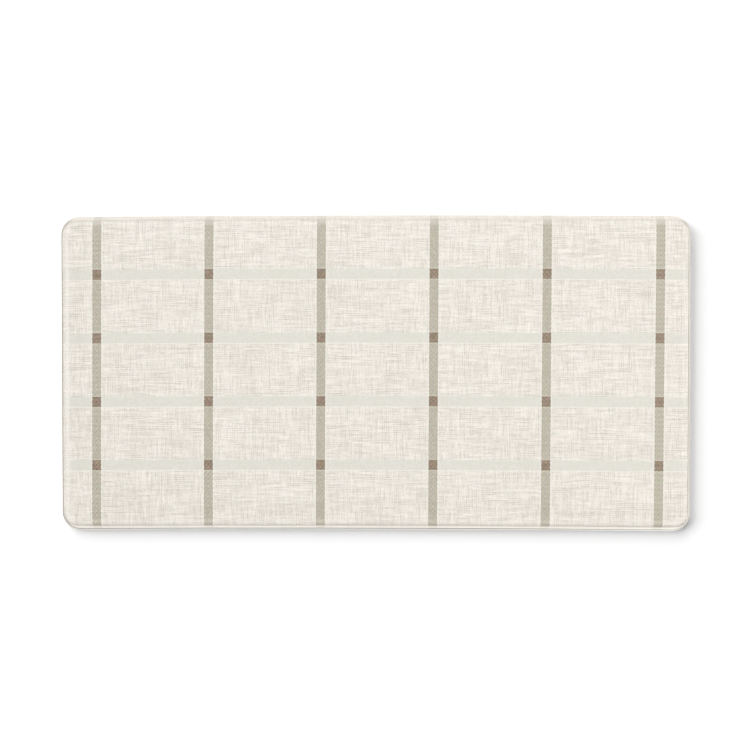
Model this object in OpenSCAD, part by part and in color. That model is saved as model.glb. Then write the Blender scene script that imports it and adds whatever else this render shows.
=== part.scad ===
/* [Mat] */
// Length of the whole mat over its welded rim
mat_length = 1016; // [600:1:1800]
// Width of the whole mat over its welded rim
mat_width = 508; // [400:1:900]
// Height of the standing surface above the floor
mat_height = 15; // [12:0.5:25]
// Radius of the mat's four corners, seen from above
corner_radius = 30; // [22:1:60]

/* [Pad and rim] */
// Width of the flat rim along the two long sides
rim_sides = 7; // [3:0.5:12]
// Width of the flat rim at the two short ends
rim_ends = 5; // [3:0.5:12]
// How much smaller the raised pad's corner radius is than the mat's
corner_step = 8; // [3:0.5:10]
// Rounding between the standing surface and the side wall
shoulder_radius = 6.5; // [3:0.5:8]

/* [Layers] */
// Thickness of the printed vinyl
vinyl_thickness = 1; // [0.6:0.1:1.5]
// Thickness of the knitted cloth bonded under the vinyl
cloth_thickness = 0.4; // [0.2:0.1:0.8]
// Thickness of the non-slip sheet underneath
base_thickness = 1.8; // [1:0.1:3]
// Share of the filling's height that is the firm lower foam
firm_share = 0.55; // [0.3:0.05:0.7]

/* [Hidden] */
$fn = 96;

// The raised pad's own outline, inside the rim
pad_length = mat_length - 2 * rim_ends;
pad_width = mat_width - 2 * rim_sides;
pad_corner = corner_radius - corner_step;

// The rim lies on the base sheet, the cloth first and the vinyl on it.
cloth_rim_top = base_thickness + cloth_thickness;
vinyl_rim_top = cloth_rim_top + vinyl_thickness;

// How far the underside of the vinyl and of the cloth lie inside the pad's skin
cloth_depth = vinyl_thickness;
foam_depth = vinyl_thickness + cloth_thickness;

foam_top = mat_height - foam_depth;
foam_split = base_thickness + firm_share * (foam_top - base_thickness);
// Spare size on a cutting block, so that it passes the surface it cuts at
past = 10;

// A rectangle with its four corners rounded by arcs.
module outline(length, width, radius) {
    square([length, width - 2 * radius], center = true);
    square([length - 2 * radius, width], center = true);
    for (x = [-1, 1], y = [-1, 1])
        translate([x * (length / 2 - radius), y * (width / 2 - radius)])
            circle(r = radius);
}

// A flat layer with the whole mat's outline, between two heights.
module full_layer(bottom, top) {
    translate([0, 0, bottom])
        linear_extrude(top - bottom)
            outline(mat_length, mat_width, corner_radius);
}

// A flat layer of the raised pad, a little inside its skin.
module pad_layer(depth, bottom, top) {
    translate([0, 0, bottom])
        linear_extrude(top - bottom)
            outline(pad_length - 2 * depth, pad_width - 2 * depth, pad_corner - depth);
}

// Quarter of a disc, its square corner at the origin.
module quarter_disc(radius) {
    intersection() {
        circle(r = radius);
        square(radius);
    }
}

// The rounded shoulder along the pad's four sides and round its four corners.
module shoulder(depth, radius, top) {
    straight_x = pad_length - 2 * pad_corner;
    straight_y = pad_width - 2 * pad_corner;
    bend = pad_corner - depth - radius;
    translate([0, 0, top - radius]) {
        for (turn = [0, 180])
            rotate([0, 0, turn]) {
                translate([straight_x / 2 + bend, straight_y / 2, 0])
                    rotate([90, 0, 0])
                        linear_extrude(straight_y)
                            quarter_disc(radius);
                translate([-straight_x / 2, straight_y / 2 + bend, 0])
                    rotate([90, 0, 90])
                        linear_extrude(straight_x)
                            quarter_disc(radius);
            }
        for (x = [0, 1], y = [0, 1])
            mirror([x, 0, 0])
                mirror([0, y, 0])
                    translate([straight_x / 2, straight_y / 2, 0])
                        rotate_extrude(angle = 90)
                            translate([bend, 0])
                                quarter_disc(radius);
    }
}

// Everything of the pad that lies deeper than depth below its skin, as one solid
// that stands on the base sheet.
module pad_inside(depth) {
    radius = shoulder_radius - depth;
    top = mat_height - depth;
    pad_layer(depth, base_thickness, top - radius);
    pad_layer(depth + radius, top - radius, top);
    shoulder(depth, radius, top);
}

// The printed vinyl: top panel, shoulder, side wall and welded rim in one skin.
module printed_cover() {
    color([0.92, 0.90, 0.85])
        difference() {
            union() {
                pad_inside(0);
                full_layer(cloth_rim_top, vinyl_rim_top);
            }
            pad_inside(cloth_depth);
            pad_layer(-past, base_thickness - past, cloth_rim_top);
        }
}

// The knitted cloth under the vinyl, out to the cut edge of the rim.
module backing_cloth() {
    color([0.97, 0.97, 0.95])
        difference() {
            union() {
                pad_inside(cloth_depth);
                full_layer(base_thickness, cloth_rim_top);
            }
            pad_inside(foam_depth);
        }
}

// The soft upper foam, which carries the rounded shoulder.
module comfort_foam() {
    color([0.97, 0.93, 0.78])
        intersection() {
            pad_inside(foam_depth);
            full_layer(foam_split, mat_height);
        }
}

// The firm lower foam.
module support_foam() {
    color([0.35, 0.36, 0.38])
        intersection() {
            pad_inside(foam_depth);
            full_layer(0, foam_split);
        }
}

// The non-slip sheet that lies on the floor.
module base_sheet() {
    color([0.92, 0.90, 0.86])
        full_layer(0, base_thickness);
}

printed_cover();
backing_cloth();
comfort_foam();
support_foam();
base_sheet();
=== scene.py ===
"""An anti-fatigue mat: printed vinyl over cloth and two foams, welded to a studded base sheet."""

import math

import bpy
from mathutils import Matrix, Vector, noise


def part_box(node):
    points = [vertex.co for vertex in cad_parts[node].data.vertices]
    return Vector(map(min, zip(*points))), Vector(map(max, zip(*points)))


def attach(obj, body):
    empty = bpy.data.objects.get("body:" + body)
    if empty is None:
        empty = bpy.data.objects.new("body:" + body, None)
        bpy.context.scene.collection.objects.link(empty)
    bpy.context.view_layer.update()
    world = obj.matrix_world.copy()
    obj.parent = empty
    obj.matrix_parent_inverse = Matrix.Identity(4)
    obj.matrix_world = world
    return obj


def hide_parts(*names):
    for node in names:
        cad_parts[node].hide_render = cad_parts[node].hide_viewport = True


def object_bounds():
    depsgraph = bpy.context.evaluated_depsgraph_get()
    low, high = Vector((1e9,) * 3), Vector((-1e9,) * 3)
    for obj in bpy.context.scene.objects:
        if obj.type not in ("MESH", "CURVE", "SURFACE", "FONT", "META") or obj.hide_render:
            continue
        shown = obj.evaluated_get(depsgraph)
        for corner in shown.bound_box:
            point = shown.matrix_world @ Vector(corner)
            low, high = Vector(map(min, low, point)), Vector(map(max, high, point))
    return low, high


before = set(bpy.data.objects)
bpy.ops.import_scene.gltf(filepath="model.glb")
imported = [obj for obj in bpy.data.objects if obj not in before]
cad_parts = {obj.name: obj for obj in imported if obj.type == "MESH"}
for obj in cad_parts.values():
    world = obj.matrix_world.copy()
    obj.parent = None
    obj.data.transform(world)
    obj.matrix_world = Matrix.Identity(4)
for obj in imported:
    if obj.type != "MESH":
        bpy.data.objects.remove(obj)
cad_low, cad_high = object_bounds()

# ---------------------------------------------------------------- sizes, in metres

# The mat's outline and its layers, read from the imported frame.
MAT_HALF_X = cad_high.x
MAT_HALF_Y = cad_high.y
TOP = cad_high.z
BASE_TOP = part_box("base_sheet")[1].z
RIM_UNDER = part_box("printed_cover")[0].z
CLOTH_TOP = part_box("backing_cloth")[1].z
FOAM_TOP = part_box("comfort_foam")[1].z
FOAM_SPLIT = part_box("support_foam")[1].z
FOAM_HALF_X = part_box("comfort_foam")[1].x
FOAM_HALF_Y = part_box("comfort_foam")[1].y
VINYL = TOP - CLOTH_TOP
CLOTH = CLOTH_TOP - FOAM_TOP
RIM_TOP = RIM_UNDER + VINYL
PAD_HALF_X = FOAM_HALF_X + VINYL + CLOTH
PAD_HALF_Y = FOAM_HALF_Y + VINYL + CLOTH

# The round corners and the shoulder, as in the CAD design.
MAT_CORNER = 0.030
PAD_CORNER = 0.022
SHOULDER = 0.0065

# How fine the meshes are.
PANEL_COLUMNS = 120
PANEL_ROWS = 57
PANEL_RINGS = (0.35, 0.7, 1)  # where rings lie from the plain grid's edge, 0, to the shoulder, 1
ARC_STEPS = 14
SHOULDER_STEPS = 9
WALL_STEPS = 4
CREASE_STEPS = 3
CUT_STEPS = 4
GRID_POINTS = (PANEL_COLUMNS + 1) * (PANEL_ROWS + 1)
RING_POINTS = 2 * (PANEL_COLUMNS + 1) + 2 * (PANEL_ROWS + 1) + 4 * (ARC_STEPS - 1)
STRAIGHT = 0.9999  # an outward direction with so large an x or y part is a straight side's

# How the vinyl sits on the foam.
SLACK = 0.0003  # the panel starts this much low, and the foam pushes it up
SWELL_MOST = 0.0007  # the furthest that the foam pushes the vinyl out
SWELL_FRAMES = 20
HELD_FROM = 0.6  # the skin is held from this share of the way down the shoulder to the crease
WAVE = 0.00016  # height of the panel's long low waves
LIE_BOW = 0.0009  # how far the mat lies bowed sideways, either way from straight
CREASE_WANDER = 0.0006  # how far the welded crease strays from a straight line

# The rim's section. Places and widths of the groove and the bead are shares of the rim's width.
CREASE_ROUND = 0.0007
GROOVE_DEPTH = 0.00025
GROOVE_AT = 0.30
GROOVE_WIDTH = 0.16
BEAD_RISE = 0.4  # of the groove's depth
BEAD_AT = 0.66
BEAD_WIDTH = 0.18
CUT_ROUND = 0.0009
END_SETBACK = 0.0005  # the vinyl is cut this far inside the base sheet's edge at the ends
SIDE_SETBACK = 0.0009  # and this far along the sides
UNDER_SETBACK = 0.0001  # the vinyl's lower edge lies this much further in
CLOTH_SETBACK = 0.0005  # and the cloth's cut edge this much
TOP_SHIFT = Vector((0.0, 0.0008, 0.0))  # how far the filled top lies off the base sheet's middle
HAIR_GAP = 0.00004  # between bonded layers, so that their faces don't coincide
FOAM_BREAK = 0.0004  # how far the foams' cut edges are softened

# The base sheet's grip studs.
STUD_COLUMNS = 55
STUD_ROWS = 27
STUD_PITCH = 0.018
STUD_SIDES = 12
STUD_SECTION = [(0.0032, 0.0), (0.0029, 0.64), (0.0021, 0.96)]  # radius, share of the depth
FIELD_DEPTH = 0.0007
FIELD_LIP = 0.0006  # how far the field's wall slopes outward
BASE_ROUND = 0.0004

# The plaid print.
STRIPE_PITCH = 0.1810
STRIPE_OFFSET = 0.0041
STRIPE_HALF = 0.0071
BAND_PITCH = 0.1024
BAND_OFFSET = 0.0051
BAND_HALF = 0.0081
BAND_REACH = 2.2  # the bands stay within this many pitches of the mat's middle
PRINT_SKEW = 0.005  # sideways drift of the stripes for each metre up the mat
GAP_SHADE = 0.55  # how dark every second thread of the weave may be, against its neighbours
RIB_RISE = 7.84  # distance between twill ribs up a stripe, in millimetres
RIB_LEAN = 6.5  # and across it
RIB_SHARE = 0.37  # how strongly the ribs slant each way


# ---------------------------------------------------------------- outlines and shells


def mixed(a, b, share):
    """The value that lies a share of the way from a to b."""
    return a + (b - a) * share


def inset_outline(inset):
    """Half sizes and corner radius of the pad's outline, moved inward."""
    return PAD_HALF_X - inset, PAD_HALF_Y - inset, PAD_CORNER - inset


def rim_outline(share, setback=0.0):
    """Half sizes and corner radius between the pad's outline, 0, and the vinyl's cut edge, 1."""
    return (
        mixed(PAD_HALF_X, MAT_HALF_X - END_SETBACK - setback, share),
        mixed(PAD_HALF_Y, MAT_HALF_Y - SIDE_SETBACK - setback, share),
        mixed(PAD_CORNER, MAT_CORNER - SIDE_SETBACK - setback, share),
    )


def ring(outline, columns, rows):
    """Points with their outward directions round a rounded rectangle, anticlockwise from its lower left."""
    half_x, half_y, radius = outline
    reach_x = half_x - radius
    reach_y = half_y - radius
    sides = [
        ((-reach_x, -half_y), (reach_x, -half_y), columns, (reach_x, -reach_y)),
        ((half_x, -reach_y), (half_x, reach_y), rows, (reach_x, reach_y)),
        ((reach_x, half_y), (-reach_x, half_y), columns, (-reach_x, reach_y)),
        ((-half_x, reach_y), (-half_x, -reach_y), rows, (-reach_x, -reach_y)),
    ]
    found = []
    for side, (start, end, count, centre) in enumerate(sides):
        facing = math.radians(90 * side - 90)
        outward = (math.cos(facing), math.sin(facing))
        for step in range(count + 1):
            share = step / count
            found.append(((mixed(start[0], end[0], share), mixed(start[1], end[1], share)), outward))
        for step in range(1, ARC_STEPS):
            turn = facing + math.radians(90) * step / ARC_STEPS
            way = (math.cos(turn), math.sin(turn))
            found.append(((centre[0] + radius * way[0], centre[1] + radius * way[1]), way))
    return found


class Shell:
    """The points and faces of one closed piece, built from a panel outward ring by ring."""

    def __init__(self, columns=PANEL_COLUMNS, rows=PANEL_ROWS):
        self.columns = columns
        self.rows = rows
        self.points = []
        self.prints = []
        self.faces = []
        self.last = None

    def add(self, x, y, z, at=None):
        """Adds one point, with its place on the flat printed sheet."""
        self.points.append((x, y, z))
        self.prints.append(at or (x, y))
        return len(self.points) - 1

    def grid(self, half_x, half_y, z):
        """Adds a level grid of points and returns its rows."""
        return [
            [
                self.add(mixed(-half_x, half_x, i / self.columns), mixed(-half_y, half_y, j / self.rows), z)
                for i in range(self.columns + 1)
            ]
            for j in range(self.rows + 1)
        ]

    def border(self, grid):
        """The grid's outer points in the order of a ring, with each corner repeated along its arc."""
        turns = ARC_STEPS - 1
        right = [row[-1] for row in grid]
        left = [row[0] for row in reversed(grid)]
        return (
            grid[0]
            + [grid[0][-1]] * turns
            + right
            + [grid[-1][-1]] * turns
            + grid[-1][::-1]
            + [grid[-1][0]] * turns
            + left
            + [grid[0][0]] * turns
        )

    def fill(self, grid, downward=False):
        """Covers a grid with faces."""
        for low, high in zip(grid, grid[1:]):
            for i in range(self.columns):
                face = [low[i], low[i + 1], high[i + 1], high[i]]
                self.faces.append(face[::-1] if downward else face)

    def join(self, inner, outer):
        """Covers the strip between two rings of points."""
        for k in range(len(inner)):
            n = (k + 1) % len(inner)
            face = []
            for corner in (outer[k], outer[n], inner[n], inner[k]):
                if corner not in face:
                    face.append(corner)
            if len(face) > 2:
                self.faces.append(face)

    def start(self, half_x, half_y, z):
        """Opens the piece with its upper panel."""
        grid = self.grid(half_x, half_y, z)
        self.fill(grid)
        self.last = self.border(grid)

    def step(self, outline, z, spread=None, wander=0.0):
        """Adds the next ring. spread is how far along the sheet it lies past the flat panel's edge."""
        edge = ring(inset_outline(SHOULDER), self.columns, self.rows)
        loop = []
        for k, ((x, y), way) in enumerate(ring(outline, self.columns, self.rows)):
            stray = wander * crease_drift(x, y)
            at = (x, y)
            if spread is not None:
                edge_x, edge_y = edge[k][0]
                start_x = x if abs(way[1]) > STRAIGHT else edge_x
                start_y = y if abs(way[0]) > STRAIGHT else edge_y
                at = (start_x + way[0] * spread, start_y + way[1] * spread)
            loop.append(self.add(x + way[0] * stray, y + way[1] * stray, z, at))
        self.join(self.last, loop)
        self.last = loop

    def close(self, half_x, half_y, z):
        """Closes the piece with its lower panel."""
        grid = self.grid(half_x, half_y, z)
        self.join(self.last, self.border(grid))
        self.fill(grid, downward=True)


def crease_drift(x, y):
    """A slow, repeatable drift between about -1 and 1 along the mat's edges."""
    slow = noise.noise(Vector((x * 9.0, y * 9.0, 4.2)))
    quick = noise.noise(Vector((x * 41.0, y * 41.0, 8.7)))
    return 1.6 * slow + 0.5 * quick


def bowed(x, y, z):
    """Where a point of the mat comes to lie, since the long mat lies in a very slight bow."""
    return (x, y + LIE_BOW * (1 - 2 * (x / MAT_HALF_X) ** 2), z)


# ---------------------------------------------------------------- sections of the layers


def skin_section(depth):
    """Inset, height and run along the sheet of each ring of the pad's skin, from the panel down to the
    crease. depth is how far the surface lies inside the vinyl's outer face."""
    radius = SHOULDER - depth
    stations = [(mixed(PAD_CORNER, SHOULDER, share), TOP - depth - SLACK, None) for share in PANEL_RINGS]
    for step in range(1, SHOULDER_STEPS + 1):
        turn = math.radians(90) * step / SHOULDER_STEPS
        sunk = SLACK * math.cos(turn)
        height = TOP - SHOULDER + radius * math.cos(turn) - sunk
        stations.append((SHOULDER - radius * math.sin(turn), height, SHOULDER * turn))
    foot = RIM_TOP + CREASE_ROUND - depth
    wall = TOP - SHOULDER - foot
    for step in range(1, WALL_STEPS + 1):
        share = step / WALL_STEPS
        run = SHOULDER * math.pi / 2 + wall * share
        stations.append((depth, TOP - SHOULDER - wall * share, run))
    return stations


def panel_corner():
    """Half sizes of the panel's plain grid, inside the pad's round corners."""
    return PAD_HALF_X - PAD_CORNER, PAD_HALF_Y - PAD_CORNER


SKIN_RUN = skin_section(0)[-1][2]
LONG_RIM = MAT_HALF_Y - PAD_HALF_Y
END_RIM = MAT_HALF_X - PAD_HALF_X


def rim_height(share):
    """Height of the rim's face from the crease, 0, to the cut edge, 1: a groove and then a low bead."""
    groove = math.exp(-(((share - GROOVE_AT) / GROOVE_WIDTH) ** 2))
    bead = math.exp(-(((share - BEAD_AT) / BEAD_WIDTH) ** 2))
    return RIM_TOP - GROOVE_DEPTH * groove + BEAD_RISE * GROOVE_DEPTH * bead


def lay_skin(shell, depth, upward=False):
    """Adds the rings of a skin from the panel's edge down to the crease, or back up again inside."""
    section = skin_section(depth)
    for inset, height, run in reversed(section) if upward else section:
        low = height < TOP - SHOULDER
        shell.step(inset_outline(inset), height, run, CREASE_WANDER if low else 0.0)


def cover_shell():
    """The printed vinyl: panel, shoulder, wall, crease, rim and the inner face 1 mm below it all."""
    shell = Shell()
    corner = panel_corner()
    shell.start(*corner, TOP - SLACK)
    lay_skin(shell, 0)
    for step in range(1, CREASE_STEPS + 1):
        turn = math.radians(90) * step / CREASE_STEPS
        out = CREASE_ROUND * (1 - math.cos(turn)) / LONG_RIM
        height = RIM_TOP + CREASE_ROUND * (1 - math.sin(turn))
        fade = 1 - 0.3 * step / CREASE_STEPS
        shell.step(rim_outline(out), height, SKIN_RUN + CREASE_ROUND * turn, CREASE_WANDER * fade)
    for share in (0.18, 0.26, 0.34, 0.42, 0.52, 0.62, 0.72, 0.82):
        run = SKIN_RUN + LONG_RIM * share
        shell.step(rim_outline(share), rim_height(share), run, CREASE_WANDER * 0.5 * (1 - share))
    for step in range(CUT_STEPS + 1):
        turn = math.radians(90) * step / CUT_STEPS
        share = 1 - CUT_ROUND * (1 - math.sin(turn)) / LONG_RIM
        height = RIM_TOP - CUT_ROUND * (1 - math.cos(turn))
        run = SKIN_RUN + LONG_RIM - CUT_ROUND + CUT_ROUND * turn
        shell.step(rim_outline(share), height, run)
    for share in (1.0, 0.6, 0.2):
        run = SKIN_RUN + LONG_RIM * share
        shell.step(rim_outline(share, UNDER_SETBACK), RIM_UNDER + HAIR_GAP, run)
    lay_skin(shell, VINYL, upward=True)
    shell.close(*corner, TOP - VINYL - SLACK)
    return shell


def cloth_shell():
    """The knitted cloth bonded under the vinyl, out to the rim's cut edge."""
    shell = Shell()
    corner = panel_corner()
    outer = VINYL + HAIR_GAP
    shell.start(*corner, TOP - outer - SLACK)
    lay_skin(shell, outer)
    for height, shares in ((RIM_UNDER, (0.2, 0.6, 1.0)), (BASE_TOP + HAIR_GAP, (1.0, 0.6, 0.2))):
        for share in shares:
            shell.step(rim_outline(share, CLOTH_SETBACK), height, SKIN_RUN + LONG_RIM * share)
    lay_skin(shell, VINYL + CLOTH, upward=True)
    shell.close(*corner, TOP - VINYL - CLOTH - SLACK)
    return shell


def comfort_shell():
    """The soft upper foam, which carries the rounded shoulder."""
    shell = Shell()
    corner = panel_corner()
    depth = VINYL + CLOTH + HAIR_GAP
    shell.start(*corner, TOP - depth - SLACK)
    for inset, height, run in skin_section(depth):
        if height > FOAM_SPLIT + FOAM_BREAK:
            shell.step(inset_outline(inset), height, run)
    shell.step(inset_outline(depth), FOAM_SPLIT + FOAM_BREAK)
    shell.step(inset_outline(depth + FOAM_BREAK), FOAM_SPLIT + HAIR_GAP)
    shell.close(*corner, FOAM_SPLIT + HAIR_GAP)
    return shell


def support_shell():
    """The firm lower foam, a plain slab with softly broken edges."""
    shell = Shell()
    corner = panel_corner()
    depth = VINYL + CLOTH + HAIR_GAP
    shell.start(*corner, FOAM_SPLIT)
    shell.step(inset_outline(depth + FOAM_BREAK), FOAM_SPLIT)
    shell.step(inset_outline(depth), FOAM_SPLIT - FOAM_BREAK)
    shell.step(inset_outline(depth), RIM_TOP)
    shell.step(inset_outline(depth), BASE_TOP + FOAM_BREAK)
    shell.step(inset_outline(depth + FOAM_BREAK), BASE_TOP + HAIR_GAP)
    shell.close(*corner, BASE_TOP + HAIR_GAP)
    return shell


def add_stud(shell, low, high, i):
    """Puts one grip stud into the grid's cell: a low dome that stands on the floor."""
    corners = [low[i], high[i], high[i + 1], low[i + 1]]
    centre_x = sum(shell.points[c][0] for c in corners) / 4
    centre_y = sum(shell.points[c][1] for c in corners) / 4
    rings = []
    for radius, share in STUD_SECTION:
        loop = []
        for k in range(STUD_SIDES):
            turn = math.radians(225) - 2 * math.pi * k / STUD_SIDES
            x = centre_x + radius * math.cos(turn)
            y = centre_y + radius * math.sin(turn)
            loop.append(shell.add(x, y, FIELD_DEPTH * (1 - share)))
        rings.append(loop)
    quarter = STUD_SIDES // 4
    for side in range(4):
        arc = [rings[0][(side * quarter + k) % STUD_SIDES] for k in range(quarter, -1, -1)]
        shell.faces.append([corners[side], corners[(side + 1) % 4]] + arc)
    for wide, narrow in zip(rings, rings[1:]):
        for k in range(STUD_SIDES):
            n = (k + 1) % STUD_SIDES
            shell.faces.append([wide[k], wide[n], narrow[n], narrow[k]])
    tip = shell.add(centre_x, centre_y, 0.0)
    for k in range(STUD_SIDES):
        shell.faces.append([rings[-1][k], rings[-1][(k + 1) % STUD_SIDES], tip])


def base_shell():
    """The non-slip sheet: a level border, and inside it a recessed field of grip studs."""
    shell = Shell(STUD_COLUMNS, STUD_ROWS)
    half_x = STUD_PITCH * STUD_COLUMNS / 2
    half_y = STUD_PITCH * STUD_ROWS / 2
    shell.start(half_x, half_y, BASE_TOP)
    middle = BASE_ROUND * 0.3  # where a quarter circle's middle lies
    outlines = [
        (BASE_ROUND, BASE_TOP),
        (middle, BASE_TOP - middle),
        (0.0, BASE_TOP - BASE_ROUND),
        (0.0, BASE_ROUND),
        (middle, middle),
        (BASE_ROUND, 0.0),
    ]
    for inset, height in outlines:
        shell.step((MAT_HALF_X - inset, MAT_HALF_Y - inset, MAT_CORNER - inset), height)
    floor_grid = shell.grid(half_x + FIELD_LIP, half_y + FIELD_LIP, 0.0)
    floor_border = shell.border(floor_grid)
    shell.join(shell.last, floor_border)
    grid = shell.grid(half_x, half_y, FIELD_DEPTH)
    shell.join(floor_border, shell.border(grid))
    for low, high in zip(grid, grid[1:]):
        for i in range(STUD_COLUMNS):
            add_stud(shell, low, high, i)
    return shell


# ---------------------------------------------------------------- the vinyl's swell over the foam


def skin_size():
    """How many points a skin has from its panel down to the crease."""
    return GRID_POINTS + RING_POINTS * len(skin_section(0))


def simulated_swell(points, faces):
    """Presses the skin up from below as cloth, held from its lower shoulder down. Returns the rises."""
    mesh = bpy.data.meshes.new("swelling")
    mesh.from_pydata(points, [], faces)
    skin = bpy.data.objects.new("swelling", mesh)
    bpy.context.collection.objects.link(skin)
    held = skin.vertex_groups.new(name="held")
    held.add([i for i, p in enumerate(points) if p[2] < TOP - SHOULDER * HELD_FROM], 1.0, "REPLACE")
    cloth = skin.modifiers.new("cloth", "CLOTH")
    cloth.settings.quality = 5
    cloth.settings.mass = 0.6
    cloth.settings.tension_stiffness = 40
    cloth.settings.compression_stiffness = 40
    cloth.settings.bending_stiffness = 4
    cloth.settings.use_pressure = True
    cloth.settings.uniform_pressure_force = 2.0
    cloth.settings.vertex_group_mass = "held"
    cloth.settings.effector_weights.gravity = 0
    cloth.point_cache.frame_start = 1
    cloth.point_cache.frame_end = SWELL_FRAMES
    for step in range(1, SWELL_FRAMES + 1):
        bpy.context.scene.frame_set(step)
    settled = skin.evaluated_get(bpy.context.evaluated_depsgraph_get()).to_mesh()
    rises = [settled.vertices[i].co.z - points[i][2] for i in range(len(points))]
    bpy.data.objects.remove(skin)
    bpy.context.scene.frame_set(1)
    return rises


def swell_of(shell):
    """Each skin point's rise over the foam, capped, with the panel's long low waves on top."""
    count = skin_size()
    points = shell.points[:count]
    faces = [face for face in shell.faces if max(face) < count]
    rises = simulated_swell(points, faces)
    found = []
    for (x, y, z), rise in zip(points, rises):
        capped = SWELL_MOST * math.tanh(rise / SWELL_MOST)
        wave = noise.noise(Vector((x * 8.0, y * 11.0, 1.3)))
        wave += 0.3 * noise.noise(Vector((x * 38.0, y * 38.0, 6.1)))
        share = min(1.0, max(0.0, (z - RIM_TOP) / (TOP - RIM_TOP)))
        found.append(capped + WAVE * wave * share)
    return found


def lift(shell, index, rise):
    """Moves one point of a shell straight up."""
    x, y, z = shell.points[index]
    shell.points[index] = (x, y, z + rise)


def raise_skins(shell, swell, inner=False):
    """Moves the shell's outer skin, and its inner skin if it has one, by the swell."""
    for i, rise in enumerate(swell):
        lift(shell, i, rise)
    if not inner:
        return
    lower_grid = len(shell.points) - GRID_POINTS
    for i in range(GRID_POINTS):
        lift(shell, lower_grid + i, swell[i])
    for loop in range(len(skin_section(0))):
        outer_ring = GRID_POINTS + loop * RING_POINTS
        inner_ring = lower_grid - (loop + 1) * RING_POINTS
        for k in range(RING_POINTS):
            lift(shell, inner_ring + k, swell[outer_ring + k])


# ---------------------------------------------------------------- pieces


def make_piece(name, shell, material, node, shift=TOP_SHIFT):
    """Turns a shell into a smooth, closed piece that stands for one CAD node."""
    mesh = bpy.data.meshes.new(name)
    mesh.from_pydata([bowed(*(Vector(p) + shift)) for p in shell.points], [], shell.faces)
    layer = mesh.uv_layers.new(name="print")
    for corner, loop in enumerate(mesh.loops):
        layer.data[corner].uv = shell.prints[loop.vertex_index]
    mesh.materials.append(material)
    mesh.shade_smooth()
    mesh.set_sharp_from_angle(angle=math.radians(48))
    mesh.validate()
    piece = bpy.data.objects.new(name, mesh)
    bpy.context.collection.objects.link(piece)
    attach(piece, "root")
    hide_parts(node)
    return piece


# ---------------------------------------------------------------- materials


def linear(value):
    """One screen colour value, 0 to 255, as linear light."""
    share = value / 255
    return share / 12.92 if share <= 0.04045 else ((share + 0.055) / 1.055) ** 2.4


def colour(red, green, blue):
    """A screen colour as the linear colour that the nodes take."""
    return (linear(red), linear(green), linear(blue), 1.0)


class Graph:
    """One material's nodes. Each method adds a node and returns its output."""

    def __init__(self, name):
        self.material = bpy.data.materials.new(name)
        self.material.use_nodes = True
        self.nodes = self.material.node_tree.nodes
        self.links = self.material.node_tree.links
        self.shader = self.nodes["Principled BSDF"]

    def feed(self, socket, value):
        """Links a socket to another one, or sets its value."""
        if isinstance(value, bpy.types.NodeSocket):
            self.links.new(value, socket)
        else:
            socket.default_value = value

    def maths(self, operation, *values):
        node = self.nodes.new("ShaderNodeMath")
        node.operation = operation
        for socket, value in zip(node.inputs, values):
            self.feed(socket, value)
        return node.outputs[0]

    def add(self, *values):
        total = values[0]
        for value in values[1:]:
            total = self.maths("ADD", total, value)
        return total

    def times(self, *values):
        total = values[0]
        for value in values[1:]:
            total = self.maths("MULTIPLY", total, value)
        return total

    def less(self, value, taken):
        return self.maths("SUBTRACT", value, taken)

    def size(self, value):
        """The value without its sign."""
        return self.maths("ABSOLUTE", value)

    def wave(self, phase):
        return self.maths("SINE", phase)

    def ease(self, value, start, end, low=0.0, high=1.0):
        """Runs smoothly from low to high as value goes from start to end."""
        node = self.nodes.new("ShaderNodeMapRange")
        node.interpolation_type = "SMOOTHSTEP"
        for key, given in (("Value", value), ("From Min", start), ("From Max", end)):
            self.feed(node.inputs[key], given)
        node.inputs["To Min"].default_value = low
        node.inputs["To Max"].default_value = high
        return node.outputs["Result"]

    def blend(self, share, first, second):
        """Mixes two colours."""
        node = self.nodes.new("ShaderNodeMix")
        node.data_type = "RGBA"
        self.feed(node.inputs[0], share)
        self.feed(node.inputs[6], first)
        self.feed(node.inputs[7], second)
        return node.outputs[2]

    def vector(self, x, y, z=0.0):
        node = self.nodes.new("ShaderNodeCombineXYZ")
        for socket, value in zip(node.inputs, (x, y, z)):
            self.feed(socket, value)
        return node.outputs[0]

    def split(self, vector):
        node = self.nodes.new("ShaderNodeSeparateXYZ")
        self.feed(node.inputs[0], vector)
        return node.outputs

    def noise(self, vector, size=1.0, detail=2.0):
        """Soft noise with patches of about the given size."""
        node = self.nodes.new("ShaderNodeTexNoise")
        self.feed(node.inputs["Vector"], vector)
        node.inputs["Scale"].default_value = 1 / size
        node.inputs["Detail"].default_value = detail
        return node.outputs[0]

    def cells(self, vector, size):
        """Distance from the middle of cells of about the given size."""
        node = self.nodes.new("ShaderNodeTexVoronoi")
        self.feed(node.inputs["Vector"], vector)
        node.inputs["Scale"].default_value = 1 / size
        return node.outputs["Distance"]

    def place(self):
        """The point's place on the object, in metres."""
        return self.nodes.new("ShaderNodeTexCoord").outputs["Object"]

    def sheet(self):
        """The point's place on the flat printed sheet, in millimetres, as x and y."""
        node = self.nodes.new("ShaderNodeUVMap")
        node.uv_map = "print"
        parts = self.split(node.outputs[0])
        return self.times(parts[0], 1000.0), self.times(parts[1], 1000.0)

    def bump(self, height, distance, strength):
        node = self.nodes.new("ShaderNodeBump")
        node.inputs["Strength"].default_value = strength
        node.inputs["Distance"].default_value = distance
        self.feed(node.inputs["Height"], height)
        self.links.new(node.outputs[0], self.shader.inputs["Normal"])

    def finish(self, base, roughness):
        """Gives the shader its colour and roughness and returns the material."""
        self.feed(self.shader.inputs["Base Color"], base)
        self.feed(self.shader.inputs["Roughness"], roughness)
        return self.material


# From here to formed_edges, plain numbers for lengths are millimetres on the flat sheet.


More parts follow.
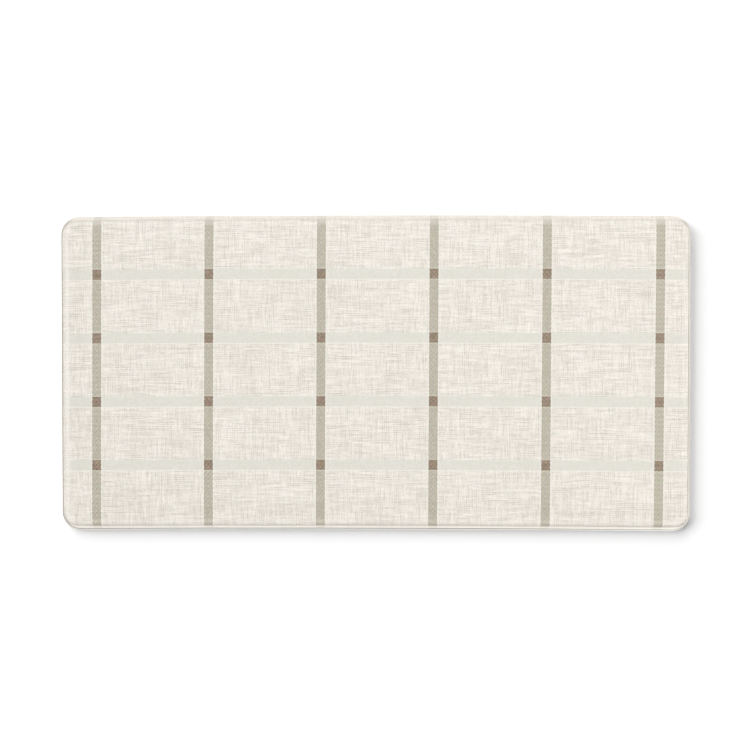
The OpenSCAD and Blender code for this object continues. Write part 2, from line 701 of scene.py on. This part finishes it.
def threads(graph, along, across, pitch, run, seed, start, end):
    """Straight threads side by side, each a pitch wide, that darken and fade along their run."""
    row = graph.maths("FLOOR", graph.times(across, 1 / pitch))
    place = graph.vector(graph.times(along, 1 / run), graph.add(graph.times(row, 7.318), seed), seed)
    shade = graph.ease(graph.noise(place, detail=1.0), start, end)
    second = graph.maths("MODULO", graph.size(row), 2.0)
    return graph.times(shade, graph.add(graph.times(second, 1.0 - GAP_SHADE), GAP_SHADE))


def linen(graph, x, y):
    """The linen weave's darkness, 0 to 1, at a place on the sheet in millimetres."""
    patches = graph.noise(graph.vector(x, y, 3.0), size=30, detail=1.0)
    weft_share = graph.ease(patches, 0.36, 0.60, 0.55, 1.0)
    warp_share = graph.ease(patches, 0.64, 0.40, 0.55, 1.0)
    weft = graph.add(
        graph.times(threads(graph, x, y, 0.8, 20.0, 2.0, 0.30, 0.70), 0.20),
        graph.times(threads(graph, x, y, 1.65, 42.0, 31.0, 0.30, 0.68), 0.54),
    )
    warp = graph.add(
        graph.times(threads(graph, y, x, 0.8, 15.0, 57.0, 0.30, 0.70), 0.18),
        graph.times(threads(graph, y, x, 1.65, 36.0, 83.0, 0.32, 0.70), 0.45),
    )
    fleck = graph.noise(graph.vector(x, y, 71.0), size=1.8, detail=1.0)
    crossed = graph.add(graph.times(weft, weft_share), graph.times(warp, warp_share))
    return graph.add(crossed, graph.ease(fleck, 0.3, 0.7, -0.15, 0.15))


def twill(graph, x, y, across):
    """Twill ribs, 0 to 1: crossed, more level toward the mat's ends, and slanting at its lower left."""
    wobble = graph.noise(graph.vector(x, y, 97.0), size=6, detail=1.0)
    rise = graph.times(graph.add(y, graph.times(wobble, 2.0)), 2 * math.pi / RIB_RISE)
    lean = graph.times(across, 2 * math.pi / RIB_LEAN)
    low_left = graph.times(graph.ease(x, -100.0, -330.0), graph.ease(y, 20.0, -180.0))
    slanting = graph.add(graph.times(low_left, 0.5), RIB_SHARE)
    level = graph.ease(graph.size(x), 60.0, 440.0, 0.1, 0.5)
    total = graph.add(
        graph.times(graph.wave(graph.less(rise, lean)), slanting),
        graph.times(graph.wave(graph.add(rise, lean)), RIB_SHARE),
        graph.times(graph.wave(rise), level),
    )
    return graph.add(graph.times(total, 0.5), 0.5)


def sheet_run(graph, x, y):
    """How far a place on the sheet lies past the flat panel's edge and past the crease, and how wide the
    rim is there, in millimetres."""
    half_x, half_y = panel_corner()
    over_x = graph.maths("MAXIMUM", graph.less(graph.size(x), half_x * 1000), 0.0)
    over_y = graph.maths("MAXIMUM", graph.less(graph.size(y), half_y * 1000), 0.0)
    reach = graph.maths("SQRT", graph.add(graph.times(over_x, over_x), graph.times(over_y, over_y)))
    run = graph.less(reach, (PAD_CORNER - SHOULDER) * 1000)
    end = graph.maths("DIVIDE", over_x, graph.maths("MAXIMUM", reach, 0.001))
    width = graph.less(1.0, graph.times(end, end, 1 - END_RIM / LONG_RIM))
    past = graph.times(graph.less(run, SKIN_RUN * 1000), width)
    return run, past, graph.times(width, LONG_RIM * 1000)


def repeated(graph, place, middle, pitch):
    """Millimetres from the nearest of the lines that lie a pitch apart, half a pitch off middle."""
    start = (middle + pitch / 2) * 1000
    return graph.maths("WRAP", graph.less(place, start), pitch * 500, -pitch * 500)


# The print's colours: two hues of each ground and yarn, and what darkens or lightens them. The band's edge
# line and the last six colours are not print: they are painted highlights, painted sheen and painted shade.
GROUND_HUES = (colour(255, 247, 240), colour(252, 249, 237))
GROUND_THREAD = colour(205, 199, 187)
BAND_HUES = (colour(232, 229, 220), colour(230, 228, 216))
BAND_THREAD = colour(206, 200, 189)
BAND_BLOTCH = colour(218, 214, 204)
BAND_EDGE_PAINTED_HIGHLIGHT = colour(244, 241, 230)
STRIPE_HALO = colour(246, 242, 232)
STRIPE_FRAME = colour(226, 220, 208)
GREIGE_HUES = (colour(210, 200, 187), colour(202, 201, 180))
GREIGE_DARKS = (colour(168, 161, 144), colour(168, 161, 144), colour(168, 163, 147))
BROWN_HUES = (colour(182, 157, 142), colour(170, 156, 127))
BROWN_DARKS = (colour(106, 88, 70), colour(108, 90, 72), colour(118, 104, 86))
# Painted light and shade laid over the print: sheen on the top rim, highlights on the shoulder, weld lip
# and dots, shade in the crease and at the cut edge.
TOP_RIM_PAINTED_SHEEN = colour(228, 221, 214)
SHOULDER_PAINTED_HIGHLIGHT = colour(255, 251, 242)
RIM_LIP_PAINTED_HIGHLIGHT = colour(252, 248, 240)
CREASE_PAINTED_SHADE = colour(158, 151, 136)
CUT_EDGE_PAINTED_SHADE = colour(114, 105, 96)
DOT_PAINTED_HIGHLIGHT = colour(255, 252, 243)


def ground_print(graph, x, y, weave):
    """The cream ground, darkened by its weave."""
    tint = graph.noise(graph.vector(x, y, 11.0), size=6)
    ground = graph.blend(graph.ease(tint, 0.34, 0.66), *GROUND_HUES)
    return graph.blend(weave, ground, GROUND_THREAD)


def band_print(graph, x, y, weave):
    """The bands' smoother and greyer ground."""
    drift = graph.noise(graph.vector(x, y, 19.0), size=14)
    ground = graph.blend(graph.ease(drift, 0.3, 0.7), *BAND_HUES)
    ground = graph.blend(graph.times(weave, 0.16), ground, BAND_THREAD)
    blotch = graph.noise(graph.vector(x, y, 53.0), size=4, detail=1.0)
    return graph.blend(graph.ease(blotch, 0.42, 0.6, 0.0, 0.4), ground, BAND_BLOTCH)


def yarn_print(graph, fleck, ribs, speck, inner_edge, hues, darks):
    """A stripe's yarn: two hues, darkened by its ribs, by specks and just inside its border."""
    yarn = graph.blend(graph.ease(fleck, 0.38, 0.62), *hues)
    for share, dark in zip((ribs, speck, graph.times(inner_edge, 0.3)), darks):
        yarn = graph.blend(share, yarn, dark)
    return yarn


def plaid(graph, x, y, weave):
    """The whole print's colour: ground, bands, and stripes that turn brown where they cross a band, with a
    painted highlight under each band and painted sheen on the stripes at the top rim and the right end.
    """
    slanted = graph.less(x, graph.times(y, PRINT_SKEW))
    across = repeated(graph, slanted, STRIPE_OFFSET, STRIPE_PITCH)
    up = repeated(graph, y, BAND_OFFSET, BAND_PITCH)
    away = graph.size(across)
    rib = twill(graph, x, y, across)

    half = BAND_HALF * 1000
    inside = graph.maths("LESS_THAN", graph.size(y), BAND_PITCH * BAND_REACH * 1000)
    above_lower_edge = graph.times(graph.ease(up, -half - 0.25, -half + 0.25), inside)
    band = graph.times(above_lower_edge, graph.ease(up, half + 1.2, half - 2.0))
    crossing = graph.times(above_lower_edge, graph.ease(up, half + 0.25, half - 0.25))
    # Painted highlight: a pale line just below each band's lower edge, as on an embossed edge lit from
    # above.
    outline = graph.times(inside, graph.less(1.0, above_lower_edge))
    outline = graph.times(outline, graph.ease(up, -half - 2.6, -half - 2.2))
    base = graph.blend(band, ground_print(graph, x, y, weave), band_print(graph, x, y, weave))
    base = graph.blend(graph.times(outline, 0.45), base, BAND_EDGE_PAINTED_HIGHLIGHT)

    border = graph.add(STRIPE_HALF * 1000, graph.times(graph.less(rib, 0.5), 0.25))
    stripe = graph.ease(away, graph.add(border, 0.3), graph.less(border, 0.3))
    halo = graph.ease(away, graph.add(border, 3.2), graph.add(border, 1.6))
    halo = graph.times(halo, graph.less(1.0, stripe))
    base = graph.blend(graph.times(halo, 0.4), base, STRIPE_HALO)

    fleck = graph.noise(graph.vector(x, y, 23.0), size=5)
    speck = graph.ease(graph.noise(graph.vector(x, y, 67.0), size=3, detail=1.0), 0.38, 0.62)
    # Fewer dark specks toward the right end make the stripes there lighter: painted sheen.
    speck = graph.times(speck, graph.ease(x, 200.0, 450.0, 0.48, 0.24))
    inner_edge = graph.ease(away, graph.less(border, 1.7), graph.less(border, 0.9))
    greige = yarn_print(graph, fleck, graph.times(rib, 0.6), speck, inner_edge, GREIGE_HUES, GREIGE_DARKS)
    brown = yarn_print(graph, fleck, graph.times(rib, 0.65), speck, inner_edge, BROWN_HUES, BROWN_DARKS)
    gap = graph.less(graph.size(up), half)
    frame_line = graph.times(graph.ease(gap, 0.1, 0.5), graph.ease(gap, 1.9, 1.3), inside)
    greige = graph.blend(graph.times(frame_line, 0.5), greige, STRIPE_FRAME)
    # Painted sheen: the stripes fade to half strength along the top rim.
    top_sheen_fade = graph.ease(y, 240.0, 244.0, 1.0, 0.5)
    return graph.blend(graph.times(stripe, top_sheen_fade), base, graph.blend(crossing, greige, brown))


def formed_edges(graph, base, x, y):
    """The print's colour with painted light over the formed edges: painted sheen on the top rim, painted
    highlights on the shoulder, the weld lip and the left shoulder's dots, and painted shade in the crease
    and at the cut edge.
    """
    run, past, rim_width = sheet_run(graph, x, y)
    at_end = graph.times(graph.less(LONG_RIM * 1000, rim_width), 0.001 / (LONG_RIM - END_RIM))
    low_side = graph.ease(y, 262.0, 240.0)
    # Painted sheen: the top rim is washed toward one flat pale tone, as where the light glances off it.
    base = graph.blend(graph.ease(y, 244.0, 250.0, 0.0, 0.45), base, TOP_RIM_PAINTED_SHEEN)

    # Painted highlight along the shoulder: weak on most sides, strongest at the left end.
    shoulder = graph.times(graph.ease(run, -6.0, -1.0), graph.ease(run, 4.0, 2.0))
    shoulder = graph.times(shoulder, graph.ease(x, -488.0, -494.0, 0.16, 0.50))
    base = graph.blend(shoulder, base, SHOULDER_PAINTED_HIGHLIGHT)

    # Painted shade in the crease at the wall's foot: wider at the right end and round the corners, fading
    # out along the top side.
    corner = graph.times(at_end, graph.less(1.0, at_end), 4.0)
    widened = graph.maths("MAXIMUM", graph.ease(x, 490.0, 500.0, 0.0, 1.1), graph.times(corner, 2.2))
    reach = graph.less(past, widened)
    crease_shade = graph.times(graph.ease(past, -1.4, -0.2), graph.ease(reach, 1.3, 0.7), low_side)
    crease_shade = graph.times(crease_shade, graph.ease(at_end, 0.0, 0.8, 0.65, 0.9))
    # Painted highlight on the rim's lip past the crease: strongest along the lower side, weak along the top
    # and at the left end.
    welded = graph.times(graph.ease(reach, 0.7, 1.3), graph.ease(y, 240.0, 262.0, 0.8, 0.15))
    welded = graph.times(welded, graph.ease(x, -470.0, -500.0, 1.0, 0.25))
    base = graph.blend(welded, base, RIM_LIP_PAINTED_HIGHLIGHT)
    base = graph.blend(crease_shade, base, CREASE_PAINTED_SHADE)

    # Painted shade along the vinyl's cut edge, where the gap above the base sheet lies in shade: none along
    # the top side, less at the right end.
    to_edge = graph.less(graph.less(rim_width, past), 0.55)
    edge_start = graph.less(1.4, graph.times(at_end, 0.5))
    cut_edge_shade = graph.times(graph.ease(to_edge, edge_start, 0.6), low_side)
    cut_edge_shade = graph.times(cut_edge_shade, graph.ease(x, 500.0, 200.0, 0.45, 0.85))
    base = graph.blend(cut_edge_shade, base, CUT_EDGE_PAINTED_SHADE)

    # Painted highlights: a row of pale dots down the left end's shoulder, one twill rib apart, as where an
    # emboss catches the light.
    dot_highlights = graph.ease(graph.wave(graph.times(y, 2 * math.pi / RIB_RISE)), 0.0, 0.9)
    dot_highlights = graph.times(dot_highlights, graph.ease(run, -1.4, -0.4), graph.ease(run, 3.2, 2.0))
    dot_highlights = graph.times(dot_highlights, graph.ease(x, -490.0, -494.0))
    return graph.blend(graph.times(dot_highlights, 0.6), base, DOT_PAINTED_HIGHLIGHT)


def printed_vinyl():
    """Satin embossed vinyl with a linen ground, pale bands, greige stripes and brown crossings."""
    graph = Graph("printed_vinyl")
    x, y = graph.sheet()
    weave = linen(graph, x, y)
    base = formed_edges(graph, plaid(graph, x, y, weave), x, y)
    pores = graph.noise(graph.vector(x, y, 29.0), size=0.7)
    graph.bump(graph.add(graph.times(weave, -0.5), graph.times(pores, 0.6)), 0.00005, 0.5)
    grain = graph.noise(graph.vector(x, y, 41.0), size=3)
    return graph.finish(base, graph.ease(grain, 0.2, 0.8, 0.40, 0.52))


def knit_cloth():
    """Fine white knit, with painted shade between its loops."""
    graph = Graph("knit_cloth")
    x, y = graph.sheet()
    wale = graph.wave(graph.times(x, 2 * math.pi / 1.1))
    course = graph.wave(graph.times(y, 2 * math.pi / 0.9))
    loops = graph.add(graph.times(wale, course, 0.5), 0.5)
    fuzz = graph.noise(graph.vector(x, y), size=2.2, detail=4.0)
    # The low parts between the loops are painted darker: painted shade.
    base = graph.blend(loops, colour(226, 224, 218), colour(246, 245, 240))
    base = graph.blend(graph.ease(fuzz, 0.4, 0.7, 0.0, 0.35), base, colour(214, 211, 204))
    graph.bump(graph.add(loops, fuzz), 0.00012, 0.8)
    return graph.finish(base, 0.92)


def foam(name, pale, dark, cell):
    """Cut foam whose open cells show as small pits, painted darker in their middles as painted shade."""
    graph = Graph(name)
    place = graph.place()
    pits = graph.ease(graph.cells(place, cell), 0.15, 0.55)
    clouds = graph.noise(place, size=0.04, detail=3.0)
    # The open cells' middles are painted darker: painted shade in the pits.
    base = graph.blend(pits, dark, pale)
    base = graph.blend(graph.ease(clouds, 0.35, 0.7, 0.0, 0.25), base, dark)
    graph.bump(pits, 0.0003, 0.9)
    return graph.finish(base, 0.95)


def grip_vinyl():
    """Matt non-slip vinyl with a fine pebble grain, painted shade in the pebbles' hollows, and a paler
    painted upper face.
    """
    graph = Graph("grip_vinyl")
    place = graph.place()
    pebbles = graph.cells(place, 0.0011)
    clouds = graph.noise(place, size=0.03, detail=4.0)
    base = graph.blend(graph.ease(clouds, 0.35, 0.68), colour(242, 237, 228), colour(237, 231, 220))
    # The pebbles' hollows are painted darker: painted shade.
    base = graph.blend(graph.ease(pebbles, 0.6, 0.1, 0.0, 0.3), base, colour(222, 215, 203))
    # Painted light: the upper face, seen as the margin round the vinyl, is painted paler than the sides and
    # underside.
    base = graph.blend(graph.ease(graph.split(place)[2], 0.0009, 0.0014), base, colour(255, 253, 248))
    graph.bump(pebbles, 0.00012, 0.7)
    return graph.finish(base, graph.ease(clouds, 0.3, 0.7, 0.62, 0.78))


def studio_floor():
    """Plain white floor."""
    graph = Graph("studio_floor")
    return graph.finish(colour(252, 252, 252), 0.9)


# ---------------------------------------------------------------- studio


def make_floor():
    """A white floor just under the mat that reaches far past it on all sides."""
    half = 60.0
    gap = 0.00005
    corners = [(-half, -half, 0), (half, -half, 0), (half, half, 0), (-half, half, 0)]
    mesh = bpy.data.meshes.new("floor")
    mesh.from_pydata(corners, [], [(0, 1, 2, 3)])
    mesh.materials.append(studio_floor())
    floor = bpy.data.objects.new("floor", mesh)
    bpy.context.collection.objects.link(floor)
    floor.location.z = -gap
    return floor


def aim(thing, place, target):
    """Puts a lamp or the camera at a place and points it at a target, with +Y up in its view."""
    back = (Vector(place) - Vector(target)).normalized()
    right = Vector((0, 1, 0)).cross(back).normalized()
    turned = Matrix((right, back.cross(right), back)).transposed()
    thing.location = place
    thing.rotation_euler = turned.to_euler()


def add_lamp(name, kind, power, place, target, **settings):
    """Adds a white lamp."""
    lamp = bpy.data.lights.new(name, kind)
    lamp.energy = power
    for key, value in settings.items():
        setattr(lamp, key, value)
    holder = bpy.data.objects.new(name, lamp)
    bpy.context.collection.objects.link(holder)
    aim(holder, place, target)
    return holder


def make_world(ambient, backdrop):
    """Even light from all round, in front of a white backdrop."""
    world = bpy.data.worlds.new("studio")
    bpy.context.scene.world = world
    world.use_nodes = True
    nodes = world.node_tree.nodes
    links = world.node_tree.links
    background = nodes["Background"]
    path = nodes.new("ShaderNodeLightPath")
    strength = nodes.new("ShaderNodeMapRange")
    strength.inputs["To Min"].default_value = ambient
    strength.inputs["To Max"].default_value = backdrop
    links.new(path.outputs["Is Camera Ray"], strength.inputs["Value"])
    links.new(strength.outputs["Result"], background.inputs["Strength"])
    background.inputs["Color"].default_value = (1, 1, 1, 1)


def light_only(lamp, things):
    """Makes a lamp light just these objects. Everything still casts its shadow."""
    lit = bpy.data.collections.new(lamp.name + "_lights")
    for thing in things:
        lit.objects.link(thing)
    lamp.light_linking.receiver_collection = lit


def make_lights(floor, pieces):
    """Even fill, two low keys for the floor's soft shadow, and a key and low side lights for the mat."""
    make_world(ambient=0.33, backdrop=1.1)
    suns = [
        ("floor_key_left", 3.5, (-1.0, 0.33, 0.43), 42),
        ("floor_key_top", 2.9, (-0.35, 1.0, 0.45), 42),
        ("mat_key", 0.87, (-0.15, 0.22, 1.0), 22),
        ("left_light", 1.13, (-1.0, 0.05, 0.55), 24),
        ("right_light", 1.50, (1.0, 0.05, 0.3), 24),
    ]
    for name, power, way, spread in suns:
        sun = add_lamp(name, "SUN", power, way, (0, 0, 0), angle=math.radians(spread))
        light_only(sun, [floor] if name.startswith("floor") else pieces)
        # A low side light mirrored in the panel would wash out the view from the far end.
        sun.visible_glossy = name not in ("left_light", "right_light")
    softbox = add_lamp(
        "softbox", "AREA", 5.5, (1.15, 0.1, 2.2), (0.5, 0, 0), shape="RECTANGLE", size=0.5, size_y=1.4
    )
    softbox.visible_camera = False
    light_only(softbox, pieces)


def make_camera():
    """Looks almost straight down on the mat from a little right of and behind its middle."""
    place = (0.0531, 0.0471, 2.4)
    target = (0.0044, -0.0067, 0.0)
    camera = bpy.data.objects.new("camera", bpy.data.cameras.new("camera"))
    bpy.context.collection.objects.link(camera)
    camera.data.sensor_width = 36.0
    camera.data.lens = 70.78
    camera.data.clip_end = 200.0
    aim(camera, place, target)
    bpy.context.scene.camera = camera


# ---------------------------------------------------------------- the mat


def build_mat():
    """Makes the five pieces of the mat."""
    cover = cover_shell()
    swell = swell_of(cover)
    raise_skins(cover, swell, inner=True)
    cloth = cloth_shell()
    raise_skins(cloth, swell, inner=True)
    comfort = comfort_shell()
    raise_skins(comfort, swell[: GRID_POINTS + RING_POINTS * len(PANEL_RINGS)])

    vinyl = make_piece("vinyl_cover", cover, printed_vinyl(), "printed_cover")
    knit = make_piece("knit_backing", cloth, knit_cloth(), "backing_cloth")
    cream = foam("soft_foam", colour(247, 238, 205), colour(214, 200, 160), 0.0013)
    grey = foam("firm_foam", colour(104, 106, 110), colour(60, 62, 66), 0.0009)
    soft = make_piece("soft_foam_slab", comfort, cream, "comfort_foam")
    firm = make_piece("firm_foam_slab", support_shell(), grey, "support_foam")
    grip = grip_vinyl()
    base = make_piece("studded_base", base_shell(), grip, "base_sheet", shift=Vector())

    return [vinyl, knit, soft, firm, base]


make_camera()
make_lights(make_floor(), build_mat())

bpy.context.scene.view_settings.view_transform = "Standard"
